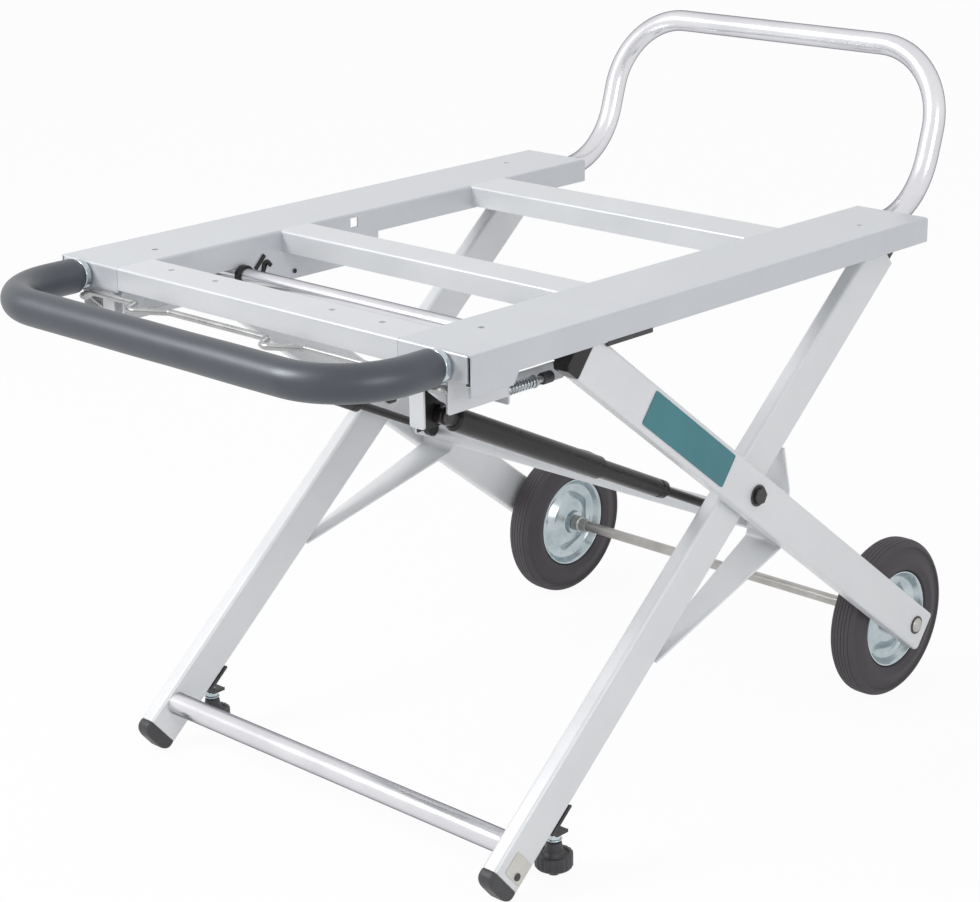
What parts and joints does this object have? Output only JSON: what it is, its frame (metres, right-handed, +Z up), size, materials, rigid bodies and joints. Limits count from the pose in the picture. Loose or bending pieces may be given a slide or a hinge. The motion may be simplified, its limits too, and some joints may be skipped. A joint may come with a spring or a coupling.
{
  "type": "table saw stand",
  "caption": "Folding wheeled stand for a table saw: sheet steel table on scissor legs with gas springs, a foam tow grip, a tall rear handle and a finger release bar.",
  "frame": {"origin": "on the floor under the middle of the stand's length and width", "axes": "+Z up; +Y from the foam tow grip to the wheels and the tall handle; +X to the side with the teal plate"},
  "size_m": [0.6066, 1.0103, 0.762],
  "materials": {
    "silver_paint": "satin silver-grey paint",
    "bright_tube": "satin drawn tube",
    "zinc": "bright zinc plate",
    "bare_steel": "plain steel",
    "dark_steel": "dark oxide",
    "black_paint": "semi-gloss black",
    "foam": "closed-cell foam",
    "black_plastic": "moulded black",
    "tyre": "solid rubber with ribs",
    "teal_plate": "plain teal, no lettering"
  },
  "bodies": {
    "table": {"rail_left": "silver_paint", "rail_right": "silver_paint", "front_cross_member": "silver_paint", "mid_cross_member": "silver_paint", "rear_cross_member": "silver_paint", "front_handle": "bright_tube", "front_grip": "foam", "handle_collar_left": "bright_tube", "handle_collar_right": "bright_tube", "rear_handle": "bright_tube", "hinge_bracket_left": "silver_paint", "hinge_bracket_right": "silver_paint", "spring_hanger_left": "silver_paint", "spring_hanger_right": "silver_paint"},
    "front_legs": {"front_leg_left": "silver_paint", "front_leg_right": "silver_paint", "hinge_tongue_left": "black_plastic", "hinge_tongue_right": "black_plastic", "hinge_bolt_left": "dark_steel", "hinge_bolt_right": "dark_steel", "strap_left": "silver_paint", "strap_right": "silver_paint", "strut_tube": "silver_paint", "foot_tube": "bright_tube", "end_cap_left": "black_plastic", "end_cap_right": "black_plastic", "foot_bracket_left": "dark_steel", "foot_bracket_right": "dark_steel"},
    "wheel_legs": {"wheel_leg_left": "silver_paint", "wheel_leg_right": "silver_paint", "slider_block_left": "black_plastic", "slider_block_right": "black_plastic", "slider_bush_left": "black_plastic", "slider_bush_right": "black_plastic", "slider_tube": "bright_tube", "pivot_bolt_left": "dark_steel", "pivot_bolt_right": "dark_steel", "axle": "bare_steel", "axle_nut": "bare_steel", "wheel_spacer_left": "dark_steel", "wheel_spacer_right": "dark_steel", "side_plate": "teal_plate"},
    "release": {"release_bar": "zinc", "latch_tip_left": "black_plastic", "latch_tip_right": "black_plastic", "latch_spring_left": "zinc", "latch_spring_right": "zinc"},
    "wheel_left": {"tyre_left": "tyre", "hub_left": "zinc"},
    "gas_cylinder_left": {"gas_cylinder_left": "black_paint"},
    "gas_rod_left": {"gas_rod_left": "black_paint"},
    "foot_stem_left": {"foot_stem_left": "zinc"},
    "foot_knob_left": {"foot_knob_left": "black_plastic"},
    "wheel_right": {"tyre_right": "tyre", "hub_right": "zinc"},
    "gas_cylinder_right": {"gas_cylinder_right": "black_paint"},
    "gas_rod_right": {"gas_rod_right": "black_paint"},
    "foot_stem_right": {"foot_stem_right": "zinc"},
    "foot_knob_right": {"foot_knob_right": "black_plastic"}
  },
  "joints": [
    {"name": "fold", "type": "hinge", "parent": "table", "child": "front_legs", "pos_m": [0, 0.33062, 0.56042], "axis": [-1, 0, 0], "range_deg": [0, 23], "stiffness_Nm_per_rad": 52, "springref_deg": -114.59},
    {"name": "wheel_leg_fold", "type": "hinge", "parent": "front_legs", "child": "wheel_legs", "pos_m": [0, 0.07168, 0.34005], "axis": [1, 0, 0], "range_deg": [0, 46]},
    {"name": "release", "type": "slide", "parent": "table", "child": "release", "axis": [0, -1, 0], "range_m": [0, 0.015], "stiffness_N_per_m": 600, "springref_m": -0.02, "deforming": ["latch_spring_left", "latch_spring_right"]},
    {"name": "wheel_spin_left", "type": "hinge", "parent": "wheel_legs", "child": "wheel_left", "pos_m": [-0.2545, 0.38696, 0.0955], "axis": [1, 0, 0], "continuous": true},
    {"name": "gas_swing_left", "type": "hinge", "parent": "table", "child": "gas_cylinder_left", "pos_m": [-0.231, -0.33068, 0.51072], "axis": [1, 0, 0], "range_deg": [0, 8.5]},
    {"name": "gas_stroke_left", "type": "slide", "parent": "gas_cylinder_left", "child": "gas_rod_left", "axis": [0, -0.8985, 0.4389], "range_m": [0, 0.121]},
    {"name": "foot_height_left", "type": "slide", "parent": "front_legs", "child": "foot_stem_left", "axis": [0, 0, -1], "range_m": [0, 0.01]},
    {"name": "foot_turn_left", "type": "hinge", "parent": "foot_stem_left", "child": "foot_knob_left", "pos_m": [-0.2662, -0.21765, 0], "axis": [0, 0, 1], "range_deg": [0, 1800]},
    {"name": "wheel_spin_right", "type": "hinge", "parent": "wheel_legs", "child": "wheel_right", "pos_m": [0.2545, 0.38696, 0.0955], "axis": [1, 0, 0], "continuous": true},
    {"name": "gas_swing_right", "type": "hinge", "parent": "table", "child": "gas_cylinder_right", "pos_m": [0.231, -0.33068, 0.51072], "axis": [1, 0, 0], "range_deg": [0, 8.5]},
    {"name": "gas_stroke_right", "type": "slide", "parent": "gas_cylinder_right", "child": "gas_rod_right", "axis": [0, -0.8985, 0.4389], "range_m": [0, 0.121]},
    {"name": "foot_height_right", "type": "slide", "parent": "front_legs", "child": "foot_stem_right", "axis": [0, 0, -1], "range_m": [0, 0.01]},
    {"name": "foot_turn_right", "type": "hinge", "parent": "foot_stem_right", "child": "foot_knob_right", "pos_m": [0.2662, -0.21765, 0], "axis": [0, 0, 1], "range_deg": [0, 1800]}
  ],
  "couplings": [
    {"joint": "wheel_leg_fold", "follows": "fold", "ratio": 2},
    {"joint": "gas_swing_left", "follows": "fold", "ratio": 0.36806},
    {"joint": "gas_stroke_left", "follows": "fold", "m_per_rad": 0.30108},
    {"joint": "foot_height_left", "follows": "foot_turn_left", "m_per_rad": 0.0003183},
    {"joint": "gas_swing_right", "follows": "fold", "ratio": 0.36806},
    {"joint": "gas_stroke_right", "follows": "fold", "m_per_rad": 0.30108},
    {"joint": "foot_height_right", "follows": "foot_turn_right", "m_per_rad": 0.0003183}
  ]
}
